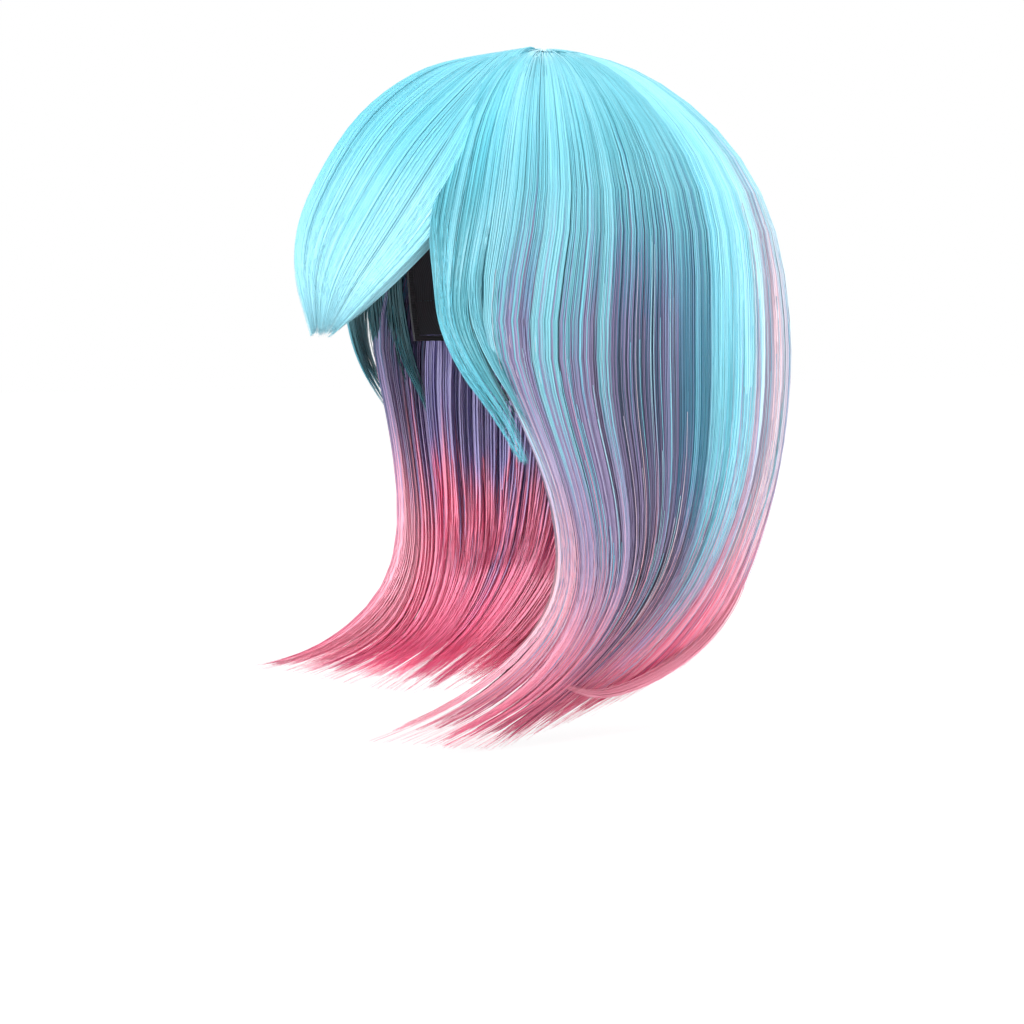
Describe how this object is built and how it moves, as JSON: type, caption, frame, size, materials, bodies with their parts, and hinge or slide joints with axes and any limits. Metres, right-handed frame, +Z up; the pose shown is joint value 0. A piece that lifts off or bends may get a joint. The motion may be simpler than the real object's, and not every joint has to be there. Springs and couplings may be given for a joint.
{
  "type": "costume wig",
  "caption": "Shoulder-length costume wig with swept fringe and forward-flicked ends, sewn to an adjustable net cap with nape straps",
  "frame": {"origin": "inside top of the cap, where the crown of the head seats", "axes": "+Z up along the head, face towards -Y, the wearer's left at +X, back of the head at +Y"},
  "size_m": [0.2032, 0.2802, 0.356],
  "materials": {
    "binding_tape": "folded elastic binding",
    "black_elastic": "ribbed elastic",
    "crown_fibre": "aqua synthetic fibre",
    "fringe_fibre": "smooth aqua synthetic fibre",
    "hook_plastic": "moulded plastic",
    "lining_satin": "soft satin lining",
    "lock_fibre": "synthetic fibre shaded from aqua through lilac to pink",
    "loop_webbing": "woven loop tape",
    "net_mesh": "fine stretch net",
    "ribbon_tape": "woven ribbon",
    "skin_mesh": "fine flesh-toned mesh",
    "under_fibre": "lilac to pink synthetic fibre",
    "weft_stitching": "machine-sewn weft heading"
  },
  "bodies": {
    "cap": {"adjust_strap_left": "black_elastic", "adjust_strap_right": "black_elastic", "back_hair_centre": "lock_fibre", "back_hair_left": "lock_fibre", "back_hair_right": "lock_fibre", "crown_net": "net_mesh", "ear_tab_left": "lining_satin", "ear_tab_right": "lining_satin", "edge_binding": "binding_tape", "fringe_hair_centre": "fringe_fibre", "fringe_hair_left": "fringe_fibre", "fringe_hair_right": "fringe_fibre", "front_lining_band": "lining_satin", "loop_tape_left": "loop_webbing", "loop_tape_right": "loop_webbing", "nape_elastic": "black_elastic", "nape_lining": "lining_satin", "nape_net": "net_mesh", "ribbon_1_left": "ribbon_tape", "ribbon_1_right": "ribbon_tape", "ribbon_2_left": "ribbon_tape", "ribbon_2_right": "ribbon_tape", "ribbon_centre": "ribbon_tape", "side_hair_front_left": "lock_fibre", "side_hair_front_right": "lock_fibre", "side_hair_rear_left": "lock_fibre", "side_hair_rear_right": "lock_fibre", "skin_top": "skin_mesh", "strap_seat_left": "black_elastic", "strap_seat_right": "black_elastic", "temple_lock_left": "crown_fibre", "temple_lock_right": "crown_fibre", "under_hair_back_centre": "under_fibre", "under_hair_back_left": "under_fibre", "under_hair_back_right": "under_fibre", "under_hair_side_left": "under_fibre", "under_hair_side_right": "under_fibre", "weft_row_01": "weft_stitching", "weft_row_02": "weft_stitching", "weft_row_03": "weft_stitching", "weft_row_04": "weft_stitching", "weft_row_05": "weft_stitching", "weft_row_06": "weft_stitching", "weft_row_07": "weft_stitching", "weft_row_08": "weft_stitching", "weft_row_09": "weft_stitching", "weft_row_10": "weft_stitching", "whorl_hair": "crown_fibre"},
    "left_strap_end": {"strap_end_loop_left": "black_elastic"},
    "left_hook": {"strap_hook_left": "hook_plastic"},
    "right_strap_end": {"strap_end_loop_right": "black_elastic"},
    "right_hook": {"strap_hook_right": "hook_plastic"}
  },
  "joints": [
    {"name": "left_strap_adjust", "type": "hinge", "parent": "cap", "child": "left_strap_end", "pos_m": [-0.00259, 0.02325, -0.1525], "axis": [0, 0, 1], "range_deg": [0, 22]},
    {"name": "left_hook_tilt", "type": "hinge", "parent": "left_strap_end", "child": "left_hook", "pos_m": [0.03784, 0.06268, -0.1525], "axis": [0.3127, 0.3782, 0.8713], "range_deg": [0, 75]},
    {"name": "right_strap_adjust", "type": "hinge", "parent": "cap", "child": "right_strap_end", "pos_m": [0.00259, 0.02325, -0.1525], "axis": [0, 0, -1], "range_deg": [0, 22]},
    {"name": "right_hook_tilt", "type": "hinge", "parent": "right_strap_end", "child": "right_hook", "pos_m": [-0.03784, 0.06268, -0.1525], "axis": [0.3127, -0.3782, -0.8713], "range_deg": [0, 75]}
  ]
}
